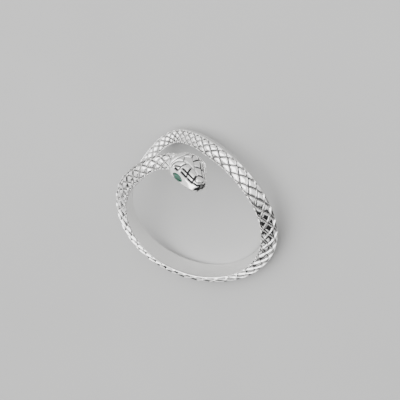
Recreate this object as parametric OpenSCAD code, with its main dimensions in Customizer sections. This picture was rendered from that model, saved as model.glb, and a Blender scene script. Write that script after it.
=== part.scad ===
// Snake wrap ring, cast in one piece, with two faceted eye stones.
// The ring is first made with its finger axis upright, the head at the high side and the tail at
// the low side, and is then leaned until it lies on its tail and its shank.
// A turn angle of 0 is the middle of the shank; it grows towards the tail.

/* [Ring] */

// Inside radius of the finger hole
finger_r = 8.5; // [7:0.25:10.5]
// Scale on the width of the body all the way round
body_width = 1; // [0.85:0.05:1.1]
// Scale on the thickness of the body all the way round
body_thick = 1; // [0.9:0.05:1.15]
// Height of the plain edge beside the finger
edge_h = 0.12; // [0.06:0.02:0.2]

/* [Scale net] */

// Depth of the cells below the ridges
cell_depth = 0.24; // [0.1:0.02:0.3]
// Part of a cell that its floor takes up
floor_share = 0.74; // [0.6:0.02:0.8]
// Rise of the middle of a cell above its rim
cell_swell = 0.08; // [0:0.02:0.12]
// Width of the smooth rail that ends the net past the crest
rail_w = 0.3; // [0.2:0.05:0.4]

/* [Head] */

// Depth of the grooves between the head plates
seam_depth = 0.16; // [0.06:0.02:0.22]
// Width of the grooves between the head plates
seam_w = 0.3; // [0.2:0.02:0.4]
// Rise of the middle of a plate above its rim
plate_swell = 0.07; // [0:0.01:0.1]

/* [Eyes] */

// Length of an eye stone
eye_l = 1.9; // [1.5:0.05:2]
// Width of an eye stone
eye_w = 0.7; // [0.6:0.05:0.8]
// Height of the table above the girdle
eye_crown = 0.16; // [0.1:0.02:0.2]
// Depth of the stone below the girdle
eye_pavilion = 0.3; // [0.24:0.02:0.36]
// Clear gap between a stone and its seat
eye_gap = 0.03; // [0.02:0.01:0.06]

/* [Hidden] */

// Sub-part to draw

SILVER = [0.78, 0.78, 0.79];
GREEN = [0.1, 0.5, 0.36];

// Lean of the ring on the surface that it lies on, about X and then about Y
lean_x = 15.8;
lean_y = 3.2;

// One row per section of the body, from the snout to the tip of the tail: turn angle, height of
// the middle, yaw of the section, width, thickness, lift off the finger, pitch of the net in
// degrees and exponent of the half-round outline.
TURN = 0;
HEIGHT = 1;
YAW = 2;
WIDTH = 3;
THICK = 4;
LIFT = 5;
PITCH = 6;
POWER = 7;
SECTIONS = [
    [-214, 4.0, -40, 0.7, 0.5, 0.35, 8.5, 2.2],
    [-212.5, 4.1, -40, 1.5, 0.8, 0.35, 8.5, 2.3],
    [-210, 4.0, -40, 2.1, 1.1, 0.35, 8.5, 2.4],
    [-205, 3.2, -40, 3.1, 1.4, 0.35, 8.5, 2.8],
    [-198, 1.7, -40, 4.2, 1.6, 0.35, 8.5, 2.8],
    [-191, 0.8, -40, 4.0, 1.6, 0.35, 8.5, 2.8],
    [-184, 0.6, -30, 2.5, 1.5, 0.35, 8.5, 2.5],
    [-178, 0.4, -20, 2.3, 1.5, 0.35, 8.5, 2.3],
    [-170, 0.4, -10, 2.0, 1.5, 0.35, 8.5, 2.2],
    [-155, 0.6, 0, 2.1, 1.5, 0.25, 8.5, 2.2],
    [-130, 0.2, 0, 2.4, 1.7, 0.1, 9, 2.2],
    [-105, 0, 0, 2.4, 1.7, 0, 9.5, 2.2],
    [-60, 0, 0, 2.6, 1.7, 0, 9.7, 2.2],
    [0, 0, 0, 2.6, 1.6, 0, 9.7, 2.2],
    [60, 0, 0, 2.6, 1.8, 0, 9.7, 2.2],
    [85, -0.2, -5, 2.6, 1.7, 0, 10, 2.2],
    [115, -1.0, -15, 2.7, 1.5, 0, 10.5, 2.2],
    [150, -2.9, -25, 2.6, 1.4, 0, 7.5, 2.2],
    [170, -4.4, -25, 2.2, 1.3, 0, 6, 2.2],
    [187, -5.2, 0, 1.9, 1.3, 0, 5, 2.2],
    [200, -4.5, 35, 1.6, 1.2, 0, 5, 2.2],
    [212, -2.7, 40, 1.3, 1.0, 0, 4.5, 2.2],
    [219, -2.0, 40, 1.0, 0.8, 0, 4.5, 2.2],
    [221.5, -1.8, 35, 0.7, 0.5, 0, 4.5, 2.2],
    [222.5, -1.7, 35, 0.3, 0.3, 0, 4.5, 2.2]
];

snout_turn = -214;
head_turn = -188;
tip_turn = 222.5;
last_row = len(SECTIONS) - 1;

// turn range over which the underside rises off the finger
rise_from = -138;
rise_to = -165;
// how far the blank reaches into the finger hole before the hole is cut, and the cutter's length
hole_stock = 0.3;
hole_l = 24;
// part of the half width at which the underside starts
under_u = 0.98;
// depth of the jaw, and the turns over which it comes in behind the head
jaw_h = 0.2;
jaw_from = -184;
jaw_to = -192;

function clamp01(x) = max(0, min(1, x));
function smooth01(x) = let (f = clamp01(x)) f * f * (3 - 2 * f);
function unit(v) = v / norm(v);

// slope of a column at a row, from its neighbours
function slope(k, c) =
    let (a = max(k - 1, 0), b = min(k + 1, last_row))
    (SECTIONS[b][c] - SECTIONS[a][c]) / (SECTIONS[b][TURN] - SECTIONS[a][TURN]);

function row_below(turn, k = 0) =
    k >= last_row - 1 || SECTIONS[k + 1][TURN] > turn ? k : row_below(turn, k + 1);

// smooth value of a column at any turn angle
function at(turn, c) =
    let (
        k = row_below(turn),
        p = SECTIONS[k],
        q = SECTIONS[k + 1],
        d = q[TURN] - p[TURN],
        f = (turn - p[TURN]) / d
    )
    p[c] * (1 + 2 * f) * pow(1 - f, 2) + q[c] * (3 - 2 * f) * f * f
    + d * (slope(k, c) * f * pow(1 - f, 2) - slope(k + 1, c) * f * f * (1 - f));

// a point given across the body and outward from the finger
function place(turn, across, out) =
    let (
        yaw = at(turn, YAW),
        a = turn - across * sin(yaw) / finger_r * 180 / PI,
        r = finger_r + at(turn, LIFT) + out
    )
    [r * sin(a), -r * cos(a), at(turn, HEIGHT) + across * cos(yaw)];

// thickness from which the plain edge has its full height
full_edge = 1.2;

function half_width(turn) = at(turn, WIDTH) * body_width / 2;
function crest(turn) = at(turn, THICK) * body_thick;
function edge(turn) = edge_h * min(1, crest(turn) / full_edge);

// a point of the half-round surface, sunk along its own normal
function skin(turn, u, sunk) =
    let (
        w = half_width(turn),
        e = edge(turn),
        h = crest(turn) - e,
        m = at(turn, POWER),
        s = h * m * pow(abs(u), m - 1) * sign(u) / w,
        n = sqrt(1 + s * s)
    )
    place(turn, u * w - sunk * s / n, e + h * (1 - pow(abs(u), m)) - sunk / n);

// how far the head reaches down towards the finger below the neck's underside
function jaw(turn) = jaw_h * smooth01((turn - jaw_from) / (jaw_to - jaw_from));

// a point of the underside, which is cut away later where the body lies on the finger
function under(turn, u) =
    place(
        turn,
        u * half_width(turn),
        -jaw(turn) - hole_stock * clamp01((turn - rise_to) / (rise_from - rise_to))
    );

// Scale net, laid out four steps to a cell

// smallest turn between the last two loops
last_gap = 0.4;

net_turns = [
    for (t = head_turn; t < tip_turn - last_gap; t = t + at(t, PITCH) / 4) t,
    tip_turn
];
net_last = len(net_turns) - 1;

// parts of the half width at which the rows of the net lie, from the near edge to the rail;
// the even ones carry the middles of the cells
row_u = [1, 0.95, 0.85, 0.75, 0.6, 0.45, 0.3, 0.1];
first_row = 1;
rows = len(row_u);
flank_u = [-0.3, -0.52, -0.72, -0.88, -1];
// widest that the rail gets on a thin part, as a part of the half width
rail_share = 0.3;
// width of the groove beside the rail, as a part of the half width, and its depth
groove_u = 0.06;
groove_depth = 0.1;
// depth of the plain flank below the rail
flank_sink = 0.08;
body_n = rows + 2 + len(flank_u) + 2;

function turn_at(i) =
    let (k = floor(max(0, min(i, net_last - 1))), f = i - k)
    net_turns[k] + f * (net_turns[k + 1] - net_turns[k]);

function u_at(j) =
    let (k = floor(max(0, min(j, rows - 2))), f = j - k)
    row_u[k] + f * (row_u[k + 1] - row_u[k]);

// thickness from which the relief is full, turn over which it starts at the head, and turns over
// which it dies out and stays out at the tip
full_relief = 1.5;
relief_start = 3;
relief_end = 4;
tip_plain = 3;

// part of the relief's full depth at a turn angle
function relief(turn) =
    min(1, crest(turn) / full_relief) * smooth01((turn - head_turn) / relief_start)
    * smooth01((tip_turn - tip_plain - turn) / relief_end);

function phase_a(i, j) = (i - j - first_row + 400) % 4;
function phase_b(i, j) = (i + j + first_row) % 4;
function is_mid(i, j) = j > 0 && phase_a(i, j) == 2 && phase_b(i, j) == 2;

// a net point by its kind: ridge, cell middle or one of the four floor corners of a cell
function net_point(i, j) =
    let (
        a = phase_a(i, j),
        b = phase_b(i, j),
        ridge = j == 0 || j == rows - 1 || i == 0 || i == net_last || a == 0 || b == 0,
        push = (floor_share - 0.5) * 2,
        di = ridge || a != b ? 0 : a == 1 ? -push : a == 3 ? push : 0,
        dj = ridge || a == b ? 0 : a == 3 ? -push : a == 1 ? push : 0,
        sunk = ridge ? 0 : is_mid(i, j) ? cell_depth - cell_swell : cell_depth,
        t = turn_at(i + di)
    )
    skin(t, u_at(j + dj), sunk * relief(t));

// one closed loop of the body: the net, the rail, the plain flank and the underside
function body_loop(i) =
    let (
        t = net_turns[i],
        ru = row_u[rows - 1] - min(rail_share, rail_w / half_width(t) / 2),
        deep = relief(t)
    )
    [
        for (j = [0:rows - 1]) net_point(i, j),
        skin(t, ru, 0),
        skin(t, ru - groove_u, groove_depth * deep),
        for (u = flank_u) skin(t, u, flank_sink * deep * (1 - pow(u, 8))),
        under(t, -under_u),
        under(t, under_u)
    ];

function body_id(i, j) = i * body_n + (j % body_n);

// the two triangles of a body square; the cut follows the ridges and spares the floors
function body_faces(i, j) =
    let (
        p = body_id(i, j),
        q = body_id(i + 1, j),
        r = body_id(i + 1, j + 1),
        s = body_id(i, j + 1),
        even = (i + j + first_row) % 2 == 0,
        mid = j < rows - 1 && (even ? is_mid(i, j) || is_mid(i + 1, j + 1)
            : is_mid(i + 1, j) || is_mid(i, j + 1))
    )
    even != mid ? [[p, q, r], [p, r, s]] : [[p, q, s], [q, r, s]];

// Head

head_steps = 44;
head_across = 36;
head_under = [-0.88, -0.3, 0.3, 0.88];
head_n = head_across + 1 + len(head_under);
// exponent that brings the loops closer together towards the snout
snout_crowd = 1.25;
// how much closer together the points of a loop get towards its edges
side_crowd = 0.24;

// turn angles of the head's loops
head_turns = [
    for (k = [1:head_steps])
        head_turn + (snout_turn - head_turn) * (1 - pow(1 - k / head_steps, snout_crowd))
];

// parts of the half width, evenly spaced along the curve
function across_u(k) = let (s = 1 - 2 * k / head_across) s * (1 + side_crowd * (1 - s * s));

// Grooves between the head plates, the same on both sides: turn angle and part of the half width
// of one end, then of the other, and depth as a part of the deepest.
SEAMS = [
    // two collar arcs behind the head
    [-190, 0.80, -191.5, 0.50, 0.7],
    [-191.5, 0.50, -192, 0.20, 0.9],
    [-192, 0.20, -192, 0.00, 0.6],
    [-191.5, 0.85, -192.5, 0.65, 1],
    [-192.5, 0.65, -194, 0.40, 0.9],
    [-194, 0.40, -196, 0.25, 0.5],
    // central shield and the line in front of it
    [-193.5, 0.00, -196, 0.25, 0.4],
    [-196, 0.25, -201, 0.10, 0.3],
    [-201, 0.10, -203.5, 0.00, 0.3],
    [-203.5, 0.00, -206.5, 0.00, 0.3],
    // rear plates beside the shield
    [-198.5, 0.20, -198, 0.55, 0.9],
    [-194, 0.70, -198, 0.55, 0.6],
    [-195, 0.75, -197.5, 0.75, 0.9],
    // middle plates
    [-199.5, 0.55, -203, 0.50, 1],
    [-203, 0.50, -202, 0.20, 0.9],
    [-202, 0.20, -201.5, 0.10, 0.5],
    [-198, 0.55, -198, 0.70, 0.6],
    [-200, 0.70, -203.5, 0.70, 1],
    // front plates
    [-203, 0.50, -204, 0.70, 0.7],
    [-203, 0.50, -207.5, 0.45, 1],
    [-207.5, 0.45, -206.5, 0.10, 1],
    [-205, 0.70, -208, 0.70, 1],
    [-207.5, 0.45, -208, 0.70, 0.6],
    // round nose plate
    [-206.5, 0.00, -207, 0.25, 0.5],
    [-207, 0.25, -208.5, 0.45, 0.5],
    [-208.5, 0.45, -210, 0.40, 0.5],
    [-210, 0.40, -211, 0.00, 0.5],
    // edge of the snout
    [-209, 0.65, -211, 0.60, 1],
    [-211, 0.60, -212, 0.30, 1],
    [-212, 0.30, -212.5, 0.00, 1],
    [-211.5, 0.50, -213, 0.70, 0.6]
];

// length of the head's surface per degree of turn, and of its half arc per length of the chord
// from its edge to its crest
head_mm = 0.23;
arc_chord = 1.1;

// turns over which the plates start behind the head and end at the snout
plate_start = 1.5;
plate_end = 1.2;
// part of the half width at which the plates give way to the smooth sides, and how fast
plate_u = 0.76;
plate_fade = 0.1;

// distance in a plane from a point to the line between two others
function reach(p, a, b) =
    let (d = b - a, f = clamp01((p - a) * d / (d * d)))
    norm(p - a - f * d);

// half width of a groove's floor and width of its wall, each as a part of its width, and the
// length over which a plate swells
seam_floor = 0.1;
seam_wall = 0.5;
swell_reach = 0.4;

// how far a place on the head is sunk: the plates swell between the grooves, and the sides
// below the eyes stay smooth
function plate_sunk(turn, u) =
    let (
        half = arc_chord * norm([half_width(turn), crest(turn)]),
        p = [turn * head_mm, abs(u) * half],
        d = [for (s = SEAMS) reach(p, [s[0] * head_mm, s[1] * half], [s[2] * head_mm, s[3] * half])],
        groove = max([
            for (k = [0:len(d) - 1]) SEAMS[k][4] * (1 - smooth01((d[k] / seam_w - seam_floor) / seam_wall))
        ]),
        swell = smooth01((min(d) - seam_w * (seam_floor + seam_wall)) / swell_reach),
        ends = smooth01((head_turn - turn) / plate_start) * smooth01((turn - snout_turn) / plate_end),
        side = 1 - smooth01((abs(u) - plate_u) / plate_fade)
    )
    (seam_depth * groove + plate_swell * (1 - swell)) * ends * side;

function head_point(h, k) =
    let (t = head_turns[h])
    k <= head_across ? skin(t, across_u(k), plate_sunk(t, across_u(k)))
    : under(t, head_under[k - head_across - 1]);

body_size = (net_last + 1) * body_n;
head_last = head_steps - 1;
function head_id(h, k) = body_size + h * head_n + (k % head_n);
snout_id = body_size + head_steps * head_n;

function head_faces(h, k) = [
    [head_id(h + 1, k), head_id(h, k), head_id(h, k + 1)],
    [head_id(h + 1, k), head_id(h, k + 1), head_id(h + 1, k + 1)]
];

// Place of a loop's point along the loop, from 0 to 1, so that two loops can be sewn together:
// the outside takes up the first part and the underside the rest.
outside_way = 0.84;
under_way = 0.12;

// parts of the half width of all points of a body loop that lie on the outside
body_u = [
    each row_u,
    row_u[rows - 1] - rail_share / 2,
    row_u[rows - 1] - rail_share / 2 - groove_u,
    each flank_u
];

function body_way(j) =
    j < body_n - 2 ? (1 - body_u[j]) / 2 * outside_way : 1 - under_way * (body_n - j) / 2;

function head_way(k) =
    k <= head_across ? (1 - across_u(k)) / 2 * outside_way
    : 1 - under_way * (head_n - k) / len(head_under);

// triangles between the first loop of the body and the first loop of the head
function sewn(j = 0, k = 0) =
    j == body_n && k == head_n ? []
    : k == head_n || (j < body_n && body_way(j + 1) <= head_way(k + 1))
        ? [[head_id(0, k), body_id(0, j), body_id(0, j + 1)], each sewn(j + 1, k)]
        : [[head_id(0, k), body_id(0, j), head_id(0, k + 1)], each sewn(j, k + 1)];

// how far the points of the snout and the tip stand out from the last loops, in degrees, and
// how much lower than the middle the tip's point lies
snout_out = 0.3;
tip_out = 0.4;
tip_drop = 0.1;

module blank() {
    polyhedron(
        points = [
            for (i = [0:net_last]) each body_loop(i),
            for (h = [0:head_last]) for (k = [0:head_n - 1]) head_point(h, k),
            place(snout_turn - snout_out, 0, crest(snout_turn) / 2),
            place(tip_turn + tip_out, 0, crest(tip_turn) / 2 - tip_drop)
        ],
        faces = [
            for (i = [0:net_last - 1]) for (j = [0:body_n - 1]) each body_faces(i, j),
            each sewn(),
            for (h = [0:head_last - 1]) for (k = [0:head_n - 1]) each head_faces(h, k),
            for (k = [0:head_n - 1]) [snout_id, head_id(head_last, k), head_id(head_last, k + 1)],
            for (j = [0:body_n - 1]) [body_id(net_last, j), snout_id + 1, body_id(net_last, j + 1)]
        ],
        convexity = 12
    );
}

// Eyes

eye_turn = -199.7;
eye_u = 0.92;
eye_sink = 0.3;
// turn of a seat towards the side of the head, under the brow
eye_tilt = 8;
girdle_h = 0.06;
eye_sides = 12;
// sizes of the table and of the lower end of a stone, as parts of its girdle
eye_table = 0.6;
eye_culet = 0.3;
// exponent that draws the ends of the oval out to points
eye_point = 1.3;
// how far a seat's cutter reaches above the girdle
seat_h = 0.6;
// distances along and across the head over which a seat's axes are taken
frame_turn = 2;
frame_u = 0.1;

// place and axes of an eye seat: along the head, across it and outward
function eye_frame(side) =
    let (
        p = skin(eye_turn, side * eye_u, eye_sink),
        f = unit(skin(eye_turn - frame_turn, side * eye_u, 0) - skin(eye_turn + frame_turn, side * eye_u, 0)),
        g = unit(skin(eye_turn, side * (eye_u + frame_u), 0) - skin(eye_turn, side * (eye_u - frame_u), 0)),
        n = side * cross(g, f) * cos(eye_tilt) + g * sin(eye_tilt)
    )
    [p, f, cross(n, f), unit(n)];

// a ring of points of the pointed oval at one height
function eye_ring(fr, share, gap, z) = [
    for (k = [0:eye_sides - 1])
        let (
            a = 360 * k / eye_sides,
            x = (eye_l / 2 * share + gap * 1.5) * cos(a),
            y = (eye_w / 2 * share + gap) * sign(sin(a)) * pow(abs(sin(a)), eye_point)
        )
        fr[0] + x * fr[1] + y * fr[2] + z * fr[3]
];

// a solid through rings of the same number of points
module ringed(rings) {
    last = len(rings) - 1;
    polyhedron(
        points = [for (r = rings) each r],
        faces = [
            [for (k = [0:eye_sides - 1]) k],
            for (i = [0:last - 1]) for (k = [0:eye_sides - 1])
                let (n = (k + 1) % eye_sides, low = i * eye_sides, up = low + eye_sides)
                each [[low + k, up + k, up + n], [low + k, up + n, low + n]],
            [for (k = [eye_sides - 1:-1:0]) last * eye_sides + k]
        ]
    );
}

module seat(side) {
    fr = eye_frame(side);
    ringed([
        eye_ring(fr, eye_culet, eye_gap, -eye_pavilion - girdle_h - eye_gap),
        eye_ring(fr, 1, eye_gap, -girdle_h - eye_gap),
        eye_ring(fr, 1, eye_gap, seat_h)
    ]);
}

module stone(side) {
    fr = eye_frame(side);
    ringed([
        eye_ring(fr, eye_culet, 0, -eye_pavilion - girdle_h),
        eye_ring(fr, 1, 0, -girdle_h),
        eye_ring(fr, 1, 0, 0),
        eye_ring(fr, eye_table, 0, eye_crown)
    ]);
}

// Sub-parts

module laid() {
    rotate([lean_x, lean_y, 0]) children();
}

module band() {
    color(SILVER) laid() difference() {
        blank();
        translate([0, 0, -hole_l / 2]) cylinder(r = finger_r, h = hole_l, $fn = 128);
        seat(1);
        seat(-1);
    }
}

module eye_right() {
    color(GREEN) laid() stone(1);
}

module eye_left() {
    color(GREEN) laid() stone(-1);
}

band();
eye_right();
eye_left();
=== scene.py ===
import math

import bmesh
import bpy
import numpy as np
from mathutils import Matrix, Vector


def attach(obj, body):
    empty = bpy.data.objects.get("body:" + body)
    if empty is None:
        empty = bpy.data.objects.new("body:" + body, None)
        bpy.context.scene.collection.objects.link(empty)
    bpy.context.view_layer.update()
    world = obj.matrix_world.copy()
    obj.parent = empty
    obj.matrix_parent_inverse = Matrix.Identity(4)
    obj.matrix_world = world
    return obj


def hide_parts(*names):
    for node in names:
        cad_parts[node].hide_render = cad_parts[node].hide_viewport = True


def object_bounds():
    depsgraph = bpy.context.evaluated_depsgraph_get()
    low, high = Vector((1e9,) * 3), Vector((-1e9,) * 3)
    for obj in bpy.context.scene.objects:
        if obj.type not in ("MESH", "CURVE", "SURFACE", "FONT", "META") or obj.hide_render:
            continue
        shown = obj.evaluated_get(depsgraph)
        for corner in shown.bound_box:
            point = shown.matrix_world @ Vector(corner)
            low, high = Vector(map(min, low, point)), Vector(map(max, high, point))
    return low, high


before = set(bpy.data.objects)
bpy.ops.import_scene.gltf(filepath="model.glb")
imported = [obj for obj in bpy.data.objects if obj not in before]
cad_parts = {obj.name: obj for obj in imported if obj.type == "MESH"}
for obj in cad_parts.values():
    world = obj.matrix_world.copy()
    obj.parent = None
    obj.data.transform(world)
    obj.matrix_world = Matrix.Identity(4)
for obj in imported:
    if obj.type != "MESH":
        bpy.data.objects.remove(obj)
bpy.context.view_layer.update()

# The finely modelled casting of the snake ring, its two eye stones, a pale floor, soft light and
# the camera. Lengths of the ring are in millimetres here and go to metres when a mesh is made.

MM = 0.001
FINGER_R = 8.5
EDGE_H = 0.12
FULL_EDGE = 1.2
LEAN_X = 15.8
LEAN_Y = 3.2

# One row per section from the snout to the tip: turn, height, yaw, width, thickness, lift,
# pitch of the net and exponent of the half-round outline.
TURN, HEIGHT, YAW, WIDTH, THICK, LIFT, PITCH, POWER = range(8)
SECTIONS = np.array([
    [-214, 4.0, -40, 0.7, 0.5, 0.35, 8.5, 2.2],
    [-212.5, 4.1, -40, 1.5, 0.8, 0.35, 8.5, 2.3],
    [-210, 4.0, -40, 2.1, 1.1, 0.35, 8.5, 2.4],
    [-205, 3.2, -40, 3.1, 1.4, 0.35, 8.5, 2.8],
    [-198, 1.7, -40, 4.2, 1.6, 0.35, 8.5, 2.8],
    [-191, 0.8, -40, 4.0, 1.6, 0.35, 8.5, 2.8],
    [-184, 0.6, -30, 2.5, 1.5, 0.35, 8.5, 2.5],
    [-178, 0.4, -20, 2.3, 1.5, 0.35, 8.5, 2.3],
    [-170, 0.4, -10, 2.0, 1.5, 0.35, 8.5, 2.2],
    [-155, 0.6, 0, 2.1, 1.5, 0.25, 8.5, 2.2],
    [-130, 0.2, 0, 2.4, 1.7, 0.1, 9, 2.2],
    [-105, 0, 0, 2.4, 1.7, 0, 9.5, 2.2],
    [-60, 0, 0, 2.6, 1.7, 0, 9.7, 2.2],
    [0, 0, 0, 2.6, 1.6, 0, 9.7, 2.2],
    [60, 0, 0, 2.6, 1.8, 0, 9.7, 2.2],
    [85, -0.2, -5, 2.6, 1.7, 0, 10, 2.2],
    [115, -1.0, -15, 2.7, 1.5, 0, 10.5, 2.2],
    [150, -2.9, -25, 2.6, 1.4, 0, 7.5, 2.2],
    [170, -4.4, -25, 2.2, 1.3, 0, 6, 2.2],
    [187, -5.2, 0, 1.9, 1.3, 0, 5, 2.2],
    [200, -4.5, 35, 1.6, 1.2, 0, 5, 2.2],
    [212, -2.7, 40, 1.3, 1.0, 0, 4.5, 2.2],
    [219, -2.0, 40, 1.0, 0.8, 0, 4.5, 2.2],
    [221.5, -1.8, 35, 0.7, 0.5, 0, 4.5, 2.2],
    [222.5, -1.7, 35, 0.3, 0.3, 0, 4.5, 2.2],
])
OUTSIDE_SHARE = 0.84  # part of the way round a section that the outside takes up
SNOUT_TURN = -214.0
HEAD_TURN = -188.0
TIP_TURN = 222.5
RISE_FROM = -138.0
RISE_TO = -165.0
HOLE_STOCK = 0.3
JAW_H = 0.2
JAW_FROM = -184.0
JAW_TO = -192.0

# Net of scales: rows as parts of the half width, from the near edge to the rail
ROW_U = np.array([1, 0.95, 0.85, 0.75, 0.6, 0.45, 0.3, 0.1])
FIRST_ROW = 1
STEPS = 5             # mesh steps per step of the net
CELL_DEPTH = 0.18
CELL_SWELL = 0.045
SWELL_W = 0.30        # from the foot of a ridge to the full height of a cell
CELL_TILT = 0.06      # extra depth of a cell at the ridges towards the near edge
TILT_W = 0.4
RIDGE_W = 0.08        # from a ridge's crest to the foot of its slope
GROOVE_W = 0.04       # half width of the painted shade line at the foot
RAIL_W = 0.3
RAIL_SHARE = 0.3      # the rail's largest part of the half width
RAIL_ROUND = 0.015    # how far the rail's two edges fall away
FLANK_DEPTH = 0.1     # depth of the plain flank below the rail
SHARP_ANGLE = 50      # edges sharper than this, in degrees, stay sharp

# Painted shade in the recesses: a near-black colour and rougher metal at the feet of the ridges, in the
# crescents and in the head grooves
NET_FOOT_PAINTED_SHADE = 0.4
CRESCENT_PAINTED_SHADE = 0.95
CRESCENT_W = 0.09
HEAD_PAINTED_SHADE_POWER = 2.5
PAINTED_SHADE_COLOUR = (0.02, 0.02, 0.022, 1)
RECESS_ROUGHNESS = 0.22

# Head plates
SEAM_DEPTH = 0.15
SEAM_HALF = 0.14      # half width of the deepest grooves
PLATE_SWELL = 0.07
PLATE_W = 0.35
HEAD_MM = 0.23
ARC_CHORD = 1.1
SEAMS = np.array([
    # two collar arcs behind the head
    [-190, 0.80, -191.5, 0.50, 0.7],
    [-191.5, 0.50, -192, 0.20, 0.9],
    [-192, 0.20, -192, 0.00, 0.6],
    [-191.5, 0.85, -192.5, 0.65, 1],
    [-192.5, 0.65, -194, 0.40, 0.9],
    [-194, 0.40, -196, 0.25, 0.5],
    # central shield and the line in front of it
    [-193.5, 0.00, -196, 0.25, 0.4],
    [-196, 0.25, -201, 0.10, 0.3],
    [-201, 0.10, -203.5, 0.00, 0.3],
    [-203.5, 0.00, -206.5, 0.00, 0.3],
    # rear plates beside the shield
    [-198.5, 0.20, -198, 0.55, 0.9],
    [-194, 0.70, -198, 0.55, 0.6],
    [-195, 0.75, -197.5, 0.75, 0.9],
    # middle plates
    [-199.5, 0.55, -203, 0.50, 1],
    [-203, 0.50, -202, 0.20, 0.9],
    [-202, 0.20, -201.5, 0.10, 0.5],
    [-198, 0.55, -198, 0.70, 0.6],
    [-200, 0.70, -203.5, 0.70, 1],
    # front plates
    [-203, 0.50, -204, 0.70, 0.7],
    [-203, 0.50, -207.5, 0.45, 1],
    [-207.5, 0.45, -206.5, 0.10, 1],
    [-205, 0.70, -208, 0.70, 1],
    [-207.5, 0.45, -208, 0.70, 0.6],
    # round nose plate
    [-206.5, 0.00, -207, 0.25, 0.5],
    [-207, 0.25, -208.5, 0.45, 0.5],
    [-208.5, 0.45, -210, 0.40, 0.5],
    [-210, 0.40, -211, 0.00, 0.5],
    # edge of the snout
    [-209, 0.65, -211, 0.60, 1],
    [-211, 0.60, -212, 0.30, 1],
    [-212, 0.30, -212.5, 0.00, 1],
    [-211.5, 0.50, -213, 0.70, 0.6],
])

# Eyes
EYE_TURN = -199.7
EYE_U = 0.92
EYE_SINK = 0.3
EYE_TILT = math.radians(8)
EYE_L = 1.9
EYE_W = 0.7
EYE_GAP = 0.03
EYE_PAVILION = 0.3
GIRDLE_H = 0.06
EYE_CULET = 0.3
EYE_POINT = 1.3
SEAT_H = 0.6
SEAT_SIDES = 40


def smooth01(x):
    f = np.clip(x, 0.0, 1.0)
    return f * f * (3 - 2 * f)


def at(turn, c):
    """Smooth value of a column of SECTIONS at any turn."""
    s = SECTIONS
    n = len(s)
    turn = np.asarray(turn, float)
    a = np.maximum(np.arange(n) - 1, 0)
    b = np.minimum(np.arange(n) + 1, n - 1)
    slope = (s[b, c] - s[a, c]) / (s[b, TURN] - s[a, TURN])
    k = np.clip(np.searchsorted(s[:, TURN], turn, side="right") - 1, 0, n - 2)
    d = s[k + 1, TURN] - s[k, TURN]
    f = (turn - s[k, TURN]) / d
    return (s[k, c] * (1 + 2 * f) * (1 - f) ** 2 + s[k + 1, c] * (3 - 2 * f) * f * f
            + d * (slope[k] * f * (1 - f) ** 2 - slope[k + 1] * f * f * (1 - f)))


def place(turn, across, out):
    yaw = np.radians(at(turn, YAW))
    a = np.radians(turn) - across * np.sin(yaw) / FINGER_R
    r = np.maximum(FINGER_R, FINGER_R + at(turn, LIFT) + out)
    return np.stack(np.broadcast_arrays(
        r * np.sin(a), -r * np.cos(a), at(turn, HEIGHT) + across * np.cos(yaw)), -1)


def crest(turn):
    return at(turn, THICK)


def half_width(turn):
    return at(turn, WIDTH) / 2


def skin(turn, u, sunk=0.0):
    """A point of the half-round outside, sunk along the surface's own normal."""
    w = half_width(turn)
    e = EDGE_H * np.minimum(1, crest(turn) / FULL_EDGE)
    h = crest(turn) - e
    m = at(turn, POWER)
    s = h * m * np.abs(u) ** (m - 1) * np.sign(u) / w
    n = np.sqrt(1 + s * s)
    return place(turn, u * w - sunk * s / n, e + h * (1 - np.abs(u) ** m) - sunk / n)


def floor_out(turn):
    """How far out the underside lies."""
    rise = np.clip((turn - RISE_TO) / (RISE_FROM - RISE_TO), 0, 1)
    return -HOLE_STOCK * rise - JAW_H * smooth01((turn - JAW_FROM) / (JAW_TO - JAW_FROM))


def under(turn, u):
    return place(turn, u * half_width(turn), floor_out(turn))


lean = (Matrix.Rotation(math.radians(LEAN_Y), 3, "Y") @ Matrix.Rotation(math.radians(LEAN_X), 3, "X"))
LEAN = np.array(lean)


def laid(p):
    """Points of the upright ring, in millimetres, as they lie, in metres."""
    return (np.asarray(p).reshape(-1, 3) @ LEAN.T) * MM


# Body: the net, the rail, the plain flank and the wall on the finger

def net_turns():
    out = [HEAD_TURN]
    while out[-1] + float(at(out[-1], PITCH)) / 4 < TIP_TURN - 0.4:
        out.append(out[-1] + float(at(out[-1], PITCH)) / 4)
    return np.array(out + [TIP_TURN])


NET = net_turns()
NET_LAST = len(NET) - 1
ROWS = len(ROW_U)

x_index = np.linspace(0, NET_LAST, NET_LAST * STEPS + 1)
y_index = np.linspace(0, ROWS - 1, (ROWS - 1) * STEPS + 1)
body_turn = np.interp(x_index, np.arange(NET_LAST + 1), NET)[:, None]
body_u = np.interp(y_index, np.arange(ROWS), ROW_U)[None, :]


def relief(turn):
    return (np.minimum(1, crest(turn) / 1.5) * smooth01((turn - HEAD_TURN) / 3)
            * smooth01((TIP_TURN - 3 - turn) / 4))


def ridge_sunk(d, reach):
    """Depth at a distance from a ridge's crest line: a rounded ridge and a slightly full cell."""
    f = np.clip(d / RIDGE_W, 0, 1)
    slope = (1 - np.cos(math.pi * f)) / 2
    width = np.clip(reach - RIDGE_W, 0.05, SWELL_W)
    swell = 1 - (1 - np.clip((d - RIDGE_W) / width, 0, 1)) ** 2
    return CELL_DEPTH * slope - CELL_SWELL * width / SWELL_W * swell


def painted_shade_at(d, foot, wide):
    """How much painted shade lies at a distance from a crest line whose slope ends at foot."""
    return np.exp(-((d - foot) / wide) ** 2)


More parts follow.
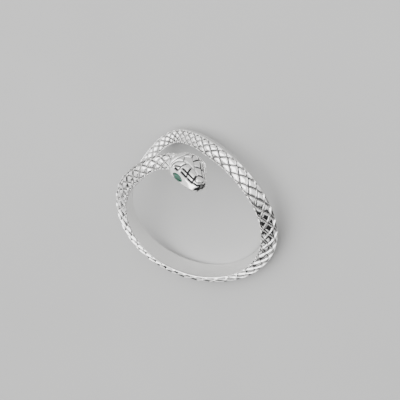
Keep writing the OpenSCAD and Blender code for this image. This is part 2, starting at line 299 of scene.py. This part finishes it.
base = skin(body_turn, body_u)
along = np.linalg.norm(np.gradient(base, axis=0), axis=-1) * STEPS
cross = np.linalg.norm(np.gradient(base, axis=1), axis=-1) * STEPS
lozenge = along * cross / np.hypot(along, cross)
X, Y = np.meshgrid(x_index, y_index, indexing="ij")
fall = np.mod(X - Y - FIRST_ROW, 4)
climb = np.mod(X + Y + FIRST_ROW, 4)
near = np.minimum(np.minimum(fall, 4 - fall), np.minimum(climb, 4 - climb))
reach = 2 * lozenge
dist = near * lozenge
# distance from the two ridges that bound a cell towards the near edge
low_dist = np.minimum(4 - fall, climb) * lozenge
# the near edge and the rail end the cells too
dist = np.minimum(dist, (ROWS - 1 - Y) * cross)
dist = np.minimum(dist, Y * cross + 0.04)
low_side = CELL_TILT * smooth01(dist / RIDGE_W) * (1 - np.clip(low_dist / TILT_W, 0, 1)) ** 2
net_part = skin(body_turn, body_u, (ridge_sunk(dist, reach * 0.8) + low_side) * relief(body_turn))
# a dark crescent of painted shade along the low side of each cell, clear of the crest of its ridge
shade_crescent = smooth01((low_dist - 0.03) / 0.03) * (1 - smooth01((low_dist - RIDGE_W - 0.04) / CRESCENT_W))
shade_crescent = CRESCENT_PAINTED_SHADE * shade_crescent * smooth01((dist - 0.03) / 0.03)
# painted shade at the foot of each ridge and in the crescents
net_painted_shade = np.maximum(NET_FOOT_PAINTED_SHADE * painted_shade_at(dist, RIDGE_W * 0.9, GROOVE_W),
                      1 - (1 - shade_crescent) ** 2) * relief(body_turn)

rail_end = ROW_U[-1] - np.minimum(RAIL_SHARE, RAIL_W / half_width(body_turn) / 2)
rail_way = np.linspace(0, 1, 6)[None, 1:]
rail_u = ROW_U[-1] + (rail_end - ROW_U[-1]) * rail_way
rail_part = skin(body_turn, rail_u, RAIL_ROUND * relief(body_turn) * np.abs(2 * rail_way - 1) ** 3)
flank_way = np.linspace(0, 1, 14)[None, 1:]
flank_u = rail_end + (-1 - rail_end) * (0.55 * flank_way + 0.45 * (1 - (1 - flank_way) ** 2))
flank_groove = smooth01(flank_way / 0.12) * (1 - 0.25 * smooth01((flank_way - 0.12) / 0.3))
flank_sunk = FLANK_DEPTH * flank_groove * relief(body_turn) * (1 - np.abs(flank_u) ** 8)
flank_part = skin(body_turn, flank_u, flank_sunk)
# painted shade along the groove just below the rail
flank_painted_shade = np.exp(-((flank_way - 0.09) / 0.05) ** 2) * relief(body_turn)


def wall(turn, n):
    """The underside from the far edge to the near one, with softened edges."""
    turn = np.asarray(turn, float)
    jaw = smooth01((turn - JAW_FROM) / (JAW_TO - JAW_FROM))
    soft = np.minimum(0.07 + 0.18 * jaw, half_width(turn) * 0.12)
    k = np.linspace(0, 1, n)[None, :]
    u = -1 + 2 * k
    u = u * (1 - soft / half_width(turn))
    lo = under(turn, u)
    low = np.maximum(floor_out(turn), -at(turn, LIFT))
    rise = EDGE_H * np.minimum(1, crest(turn) / FULL_EDGE) * 0.9 - low
    s = np.sin(np.radians([30, 60]))[None, :]
    c = 1 - np.cos(np.radians([30, 60]))[None, :]
    w = half_width(turn)
    far = place(turn, -(w - soft * c), low + rise * (1 - s))
    near_ = place(turn, (w - soft * c[:, ::-1]), low + rise * (1 - s[:, ::-1]))
    return np.concatenate([far, lo, near_], axis=1)


under_part = wall(body_turn, 7)
body_grid = np.concatenate([net_part, rail_part, flank_part, under_part], axis=1)
# painted shade of the body's points: dark at the feet of the ridges, in the crescents and in the groove
# under the rail
body_painted_shade = np.concatenate([
    net_painted_shade, np.zeros(rail_part.shape[:2]), flank_painted_shade, np.zeros(under_part.shape[:2])], axis=1)


def way_round(top_u, under_count):
    """Share of the way round a loop of each of its points: the outside, then the underside."""
    return np.concatenate([(1 - top_u) / 2 * OUTSIDE_SHARE,
                           OUTSIDE_SHARE + (1 - OUTSIDE_SHARE) * np.linspace(0.05, 0.95, under_count)])


body_way = way_round(np.concatenate([body_u[0], rail_u[0], flank_u[0]]), under_part.shape[1])

# Head

HEAD_LOOPS = 180
HEAD_ACROSS = 140
along_head = np.arange(1, HEAD_LOOPS + 1) / HEAD_LOOPS
head_turn = (HEAD_TURN + (SNOUT_TURN - HEAD_TURN) * (1 - (1 - along_head) ** 1.25))[:, None]
across_head = 1 - 2 * np.arange(HEAD_ACROSS + 1) / HEAD_ACROSS
head_u = (across_head * (1.2 - 0.2 * across_head * across_head))[None, :]


def plates_at(turn, u):
    """Depth and painted shade of the head: plates that swell a little between grooves darkened with painted
    shade.
    """
    half = ARC_CHORD * np.hypot(half_width(turn), crest(turn))
    px = (turn * HEAD_MM) + 0 * u
    py = np.abs(u) * half
    nearest = np.full(px.shape, 1e9)
    groove = np.zeros(px.shape)
    groove_shade = np.zeros(px.shape)
    for t0, u0, t1, u1, share in SEAMS:
        ax, ay, bx, by = t0 * HEAD_MM, u0 * half, t1 * HEAD_MM, u1 * half
        dx, dy = bx - ax, by - ay
        f = np.clip(((px - ax) * dx + (py - ay) * dy) / (dx * dx + dy * dy), 0, 1)
        d = np.hypot(px - ax - f * dx, py - ay - f * dy)
        wide = SEAM_HALF * (0.4 + 0.6 * share)
        nearest = np.minimum(nearest, d)
        groove = np.maximum(groove, share * (1 - smooth01((d / wide - 0.4) / 0.6)))
        # painted shade along each groove
        groove_shade = np.maximum(groove_shade, min(1, 2 * share - 0.4) * (1 - smooth01((d / wide - 0.5) / 0.5)))
    swell = 1 - (1 - np.clip((nearest - 0.06) / PLATE_W, 0, 1)) ** 2
    ends = smooth01((HEAD_TURN - turn) / 1.5) * smooth01((turn - SNOUT_TURN) / 1.2)
    side = 1 - smooth01((np.abs(u) - 0.76) / 0.08)
    fade = ends * side
    return (SEAM_DEPTH * groove + PLATE_SWELL * (1 - swell)) * fade, 1 - (1 - groove_shade * fade) ** HEAD_PAINTED_SHADE_POWER


head_sunk, head_painted_shade = plates_at(head_turn, head_u)
for axis in (0, 1):
    head_sunk = (2 * head_sunk + np.roll(head_sunk, 1, axis) + np.roll(head_sunk, -1, axis)) / 4
head_top = skin(head_turn, head_u, head_sunk)
head_under = wall(head_turn, 17)
head_grid = np.concatenate([head_top, head_under], axis=1)
head_painted_shade = np.concatenate([head_painted_shade, np.zeros(head_under.shape[:2])], axis=1)
head_way = way_round(head_u[0], head_under.shape[1])


def quads(first, loops, n):
    i = np.arange(loops - 1)[:, None]
    j = np.arange(n)[None, :]
    a = first + i * n + j
    b = first + i * n + (j + 1) % n
    return np.stack([a, a + n, b + n, b], -1).reshape(-1, 4)


def casting():
    """The whole casting as one closed mesh."""
    nb = body_grid.shape[1]
    nh = head_grid.shape[1]
    lb, lh = len(body_grid), len(head_grid)
    ends = [place(SNOUT_TURN - 0.3, 0.0, float(crest(SNOUT_TURN)) / 2),
            place(TIP_TURN + 0.4, 0.0, float(crest(TIP_TURN)) / 2 - 0.1)]
    points = np.concatenate([body_grid.reshape(-1, 3), head_grid.reshape(-1, 3), ends])
    painted_shade = np.concatenate([body_painted_shade.ravel(), head_painted_shade.ravel(), [0, 0]])
    first_head = lb * nb
    faces = [tuple(q) for q in quads(0, lb, nb)]
    faces += [tuple(q[::-1]) for q in quads(first_head, lh, nh)]
    # ridges run along the diagonals of the net's squares, so those are cut along them
    cut = []
    for q, face in enumerate(faces[:(lb - 1) * nb]):
        i, j = divmod(q, nb)
        if j >= len(y_index) - 1:
            cut.append(face)
            continue
        mx = (x_index[i] + x_index[i + 1]) / 2
        my = (y_index[j] + y_index[j + 1]) / 2
        p = (mx - my - FIRST_ROW) % 4
        r = (mx + my + FIRST_ROW) % 4
        a, b, c, d = face
        if min(p, 4 - p) < min(r, 4 - r):
            cut += [(a, b, c), (a, c, d)]
        else:
            cut += [(a, b, d), (b, c, d)]
    faces = cut + faces[(lb - 1) * nb:]
    i = j = 0
    while i < nb or j < nh:
        if j == nh or (i < nb and (body_way[i + 1] if i + 1 < nb else 1.0)
                       <= (head_way[j + 1] if j + 1 < nh else 1.0)):
            faces.append((first_head + j % nh, i, (i + 1) % nb))
            i += 1
        else:
            faces.append((first_head + j, i % nb, first_head + (j + 1) % nh))
            j += 1
    last = first_head + (lh - 1) * nh
    snout, tip = len(points) - 2, len(points) - 1
    faces += [(snout, last + j, last + (j + 1) % nh) for j in range(nh)]
    end = (lb - 1) * nb
    faces += [(end + j, tip, end + (j + 1) % nb) for j in range(nb)]
    return points, faces, painted_shade


def make(name, points, faces, material, painted_shade=None):
    mesh = bpy.data.meshes.new(name)
    mesh.from_pydata([tuple(p) for p in laid(points)], [], [tuple(int(v) for v in f) for f in faces])
    # the painted shade is stored on each point for the silver material
    if painted_shade is not None:
        mesh.attributes.new("painted_shade", "FLOAT", "POINT").data.foreach_set("value", painted_shade.astype(np.float32))
    work = bmesh.new()
    work.from_mesh(mesh)
    bmesh.ops.recalc_face_normals(work, faces=work.faces)
    work.to_mesh(mesh)
    work.free()
    mesh.update()
    obj = bpy.data.objects.new(name, mesh)
    bpy.context.scene.collection.objects.link(obj)
    if material:
        mesh.materials.append(material)
    return obj


# Eye seats

def eye_frame(side):
    u = side * EYE_U
    t = np.float64(EYE_TURN)
    p = skin(t, u, EYE_SINK)

    def unit(v):
        return v / np.linalg.norm(v)

    f = unit(skin(t - 2, u) - skin(t + 2, u))
    g = unit(skin(t, side * (EYE_U + 0.1)) - skin(t, side * (EYE_U - 0.1)))
    n = side * np.cross(g, f) * math.cos(EYE_TILT) + g * math.sin(EYE_TILT)
    return p, f, np.cross(n, f), unit(n)


def eye_ring(fr, share, gap, z, sides):
    a = 2 * math.pi * np.arange(sides) / sides
    x = (EYE_L / 2 * share + gap * 1.5) * np.cos(a)
    y = (EYE_W / 2 * share + gap) * np.sign(np.sin(a)) * np.abs(np.sin(a)) ** EYE_POINT
    return fr[0] + x[:, None] * fr[1] + y[:, None] * fr[2] + z * fr[3]


def ringed(rings):
    n = len(rings[0])
    faces = [tuple(range(n))]
    for i in range(len(rings) - 1):
        for k in range(n):
            m = (k + 1) % n
            faces.append((i * n + k, i * n + n + k, i * n + n + m, i * n + m))
    top = (len(rings) - 1) * n
    faces.append(tuple(top + k for k in reversed(range(n))))
    return np.concatenate(rings), faces


# Materials

def nodes_of(material):
    material.use_nodes = True
    tree = material.node_tree
    tree.nodes.clear()
    out = tree.nodes.new("ShaderNodeOutputMaterial")
    shader = tree.nodes.new("ShaderNodeBsdfPrincipled")
    tree.links.new(shader.outputs["BSDF"], out.inputs["Surface"])
    return tree, shader


def add(tree, kind, **values):
    node = tree.nodes.new(kind)
    for name, value in values.items():
        if hasattr(node, name):
            setattr(node, name, value)
        else:
            node.inputs[name.replace("_", " ")].default_value = value
    return node


def ramp(tree, source, stops):
    node = tree.nodes.new("ShaderNodeValToRGB")
    tree.links.new(source, node.inputs["Fac"])
    elements = node.color_ramp.elements
    while len(elements) < len(stops):
        elements.new(0.5)
    for element, (place_, value) in zip(elements, stops):
        element.position = place_
        element.color = value if len(value) == 4 else (*value, 1)
    return node


def silver():
    """Polished cast silver: a trace of cloudy tone, fine polishing marks, a soft uneven surface and painted
    shade in the recesses.
    """
    material = bpy.data.materials.new("polished_silver")
    tree, shader = nodes_of(material)
    shader.inputs["Metallic"].default_value = 1.0
    coords = add(tree, "ShaderNodeTexCoord")
    cloud = add(tree, "ShaderNodeTexNoise", Scale=260.0, Detail=4.0, Roughness=0.55)
    tree.links.new(coords.outputs["Object"], cloud.inputs["Vector"])
    tone = ramp(tree, cloud.outputs["Fac"], [(0.3, (0.88, 0.875, 0.865)), (0.7, (0.94, 0.935, 0.925))])
    # painted shade: where the attribute is high the base colour goes to a near-black colour and the metal
    # gets rougher
    painted_shade = add(tree, "ShaderNodeAttribute", attribute_name="painted_shade")
    shade = tree.nodes.new("ShaderNodeMix")
    shade.data_type = "RGBA"
    shade.inputs[7].default_value = PAINTED_SHADE_COLOUR
    tree.links.new(painted_shade.outputs["Fac"], shade.inputs[0])
    tree.links.new(tone.outputs["Color"], shade.inputs[6])
    tree.links.new(shade.outputs[2], shader.inputs["Base Color"])
    rough = add(tree, "ShaderNodeMapRange")
    rough.inputs["From Min"].default_value = 0.3
    rough.inputs["From Max"].default_value = 0.75
    rough.inputs["To Min"].default_value = 0.12
    rough.inputs["To Max"].default_value = 0.19
    tree.links.new(cloud.outputs["Fac"], rough.inputs["Value"])
    duller = add(tree, "ShaderNodeMath", operation="MULTIPLY_ADD")
    duller.inputs[1].default_value = RECESS_ROUGHNESS
    tree.links.new(painted_shade.outputs["Fac"], duller.inputs[0])
    tree.links.new(rough.outputs["Result"], duller.inputs[2])
    tree.links.new(duller.outputs["Value"], shader.inputs["Roughness"])
    grain = add(tree, "ShaderNodeTexNoise", Scale=1500.0, Detail=3.0, Roughness=0.5)
    tree.links.new(coords.outputs["Object"], grain.inputs["Vector"])
    bump = add(tree, "ShaderNodeBump", Strength=0.12, Distance=0.00003)
    tree.links.new(grain.outputs["Fac"], bump.inputs["Height"])
    tree.links.new(bump.outputs["Normal"], shader.inputs["Normal"])
    return material


def green_stone():
    """A deep green cut stone, a little cloudy inside."""
    material = bpy.data.materials.new("green_stone")
    tree, shader = nodes_of(material)
    coords = add(tree, "ShaderNodeTexCoord")
    cloud = add(tree, "ShaderNodeTexNoise", Scale=1400.0, Detail=3.0, Roughness=0.5)
    tree.links.new(coords.outputs["Object"], cloud.inputs["Vector"])
    tone = ramp(tree, cloud.outputs["Fac"],
                [(0.3, (0.002, 0.04, 0.024)), (0.55, (0.006, 0.1, 0.06)), (0.8, (0.02, 0.19, 0.12))])
    tree.links.new(tone.outputs["Color"], shader.inputs["Base Color"])
    shader.inputs["Roughness"].default_value = 0.06
    shader.inputs["IOR"].default_value = 1.58
    shader.inputs["Transmission Weight"].default_value = 0.25
    return material


def floor_paper():
    material = bpy.data.materials.new("pale_paper")
    tree, shader = nodes_of(material)
    coords = add(tree, "ShaderNodeTexCoord")
    cloud = add(tree, "ShaderNodeTexNoise", Scale=40.0, Detail=3.0, Roughness=0.5)
    tree.links.new(coords.outputs["Object"], cloud.inputs["Vector"])
    tone = ramp(tree, cloud.outputs["Fac"], [(0.2, (0.37, 0.37, 0.367)), (0.8, (0.40, 0.40, 0.397))])
    tree.links.new(tone.outputs["Color"], shader.inputs["Base Color"])
    shader.inputs["Roughness"].default_value = 0.9
    shader.inputs["Specular IOR Level"].default_value = 0.2
    return material


SILVER = silver()
GREEN = green_stone()

# Pieces

points, faces, painted_shade = casting()
ring = make("snake_casting", points, faces, SILVER, painted_shade)
for side in (1, -1):
    seat = eye_frame(side)
    cutter_points, cutter_faces = ringed([
        eye_ring(seat, EYE_CULET, EYE_GAP, -EYE_PAVILION - GIRDLE_H - EYE_GAP, SEAT_SIDES),
        eye_ring(seat, 1, EYE_GAP, -GIRDLE_H - EYE_GAP, SEAT_SIDES),
        eye_ring(seat, 1, EYE_GAP, SEAT_H, SEAT_SIDES)])
    cutter = make("seat_cutter", cutter_points, cutter_faces, None)
    bpy.context.view_layer.objects.active = ring
    cut = ring.modifiers.new("seat", "BOOLEAN")
    cut.operation = "DIFFERENCE"
    cut.solver = "EXACT"
    cut.object = cutter
    graph = bpy.context.evaluated_depsgraph_get()
    result = bpy.data.meshes.new_from_object(ring.evaluated_get(graph))
    old = ring.data
    ring.modifiers.clear()
    ring.data = result
    bpy.data.meshes.remove(old)
    bpy.data.objects.remove(cutter)
ring.data.name = "snake_casting"
ring.data.polygons.foreach_set("use_smooth", [True] * len(ring.data.polygons))
ring.data.set_sharp_from_angle(angle=math.radians(SHARP_ANGLE))
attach(ring, "root")
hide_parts("band")

for name in ("eye_right", "eye_left"):
    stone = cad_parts[name]
    for k in range(len(stone.data.materials)):
        stone.data.materials[k] = GREEN

# Floor, light and camera

FLOOR_HALF = 0.35
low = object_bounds()[0][2]
corners = [(x * FLOOR_HALF, y * FLOOR_HALF, low) for x, y in ((-1, -1), (1, -1), (1, 1), (-1, 1))]
mesh = bpy.data.meshes.new("floor")
mesh.from_pydata(corners, [], [(0, 1, 2, 3)])
floor = bpy.data.objects.new("floor", mesh)
bpy.context.scene.collection.objects.link(floor)
mesh.materials.append(floor_paper())

world = bpy.data.worlds.new("studio")
world.use_nodes = True
# A white room that is dark behind the near side of the ring
sky = world.node_tree
sky_at = sky.nodes.new("ShaderNodeTexCoord")
sky_y = sky.nodes.new("ShaderNodeSeparateXYZ")
sky.links.new(sky_at.outputs["Generated"], sky_y.inputs["Vector"])
sky_tone = ramp(sky, sky_y.outputs["Y"], [(0.0, (0.012, 0.012, 0.013)), (1.0, (1, 1, 1))])
sky_range = sky.nodes.new("ShaderNodeMapRange")
sky_range.interpolation_type = "SMOOTHSTEP"
sky_range.inputs["From Min"].default_value = -0.5
sky_range.inputs["From Max"].default_value = -0.25
sky.links.new(sky_y.outputs["Y"], sky_range.inputs["Value"])
sky.links.new(sky_range.outputs["Result"], sky_tone.inputs["Fac"])
sky.links.new(sky_tone.outputs["Color"], sky.nodes["Background"].inputs["Color"])
sky.nodes["Background"].inputs["Strength"].default_value = 1.6
bpy.context.scene.world = world


def soft_box(name, where, aim, width, height, power):
    light = bpy.data.lights.new(name, "AREA")
    light.shape = "RECTANGLE"
    light.size = width
    light.size_y = height
    light.energy = power
    obj = bpy.data.objects.new(name, light)
    obj.location = where
    obj.rotation_mode = "QUATERNION"
    obj.rotation_quaternion = (Vector(aim) - Vector(where)).to_track_quat("-Z", "Y")
    bpy.context.scene.collection.objects.link(obj)
    return obj


soft_box("overhead", (-0.02, 0.14, 0.30), (0, 0, 0), 0.42, 0.38, 2.0)
soft_box("front", (-0.10, -0.255, 0.13), (0, 0, 0), 0.46, 0.12, 0.25)

# The camera's direction from the upright ring, in degrees, its roll and its distance
CAMERA_AZIMUTH = 52.5
CAMERA_ELEVATION = 45
CAMERA_ROLL = -155
DISTANCE = 0.2125
azimuth, elevation, roll = (math.radians(a) for a in (CAMERA_AZIMUTH, CAMERA_ELEVATION, CAMERA_ROLL))
upright_back = Vector((math.cos(elevation) * math.cos(azimuth), math.cos(elevation) * math.sin(azimuth),
                       math.sin(elevation)))
level = Vector((-math.sin(azimuth), math.cos(azimuth), 0))
upright_right = level * math.cos(roll) + upright_back.cross(level) * math.sin(roll)
upright_up = upright_back.cross(upright_right)
right, up, back = (lean @ axis for axis in (upright_right, upright_up, upright_back))
camera = bpy.data.cameras.new("camera")
camera.sensor_width = 36
camera.lens = 157.5
camera.shift_x = 0.01
camera.shift_y = 0.046
camera.clip_start = 0.01
camera.clip_end = 10
viewer = bpy.data.objects.new("camera", camera)
turned = Matrix((right, up, back)).transposed()
viewer.matrix_world = Matrix.Translation(back * DISTANCE) @ turned.to_4x4()
bpy.context.scene.collection.objects.link(viewer)
bpy.context.scene.camera = viewer
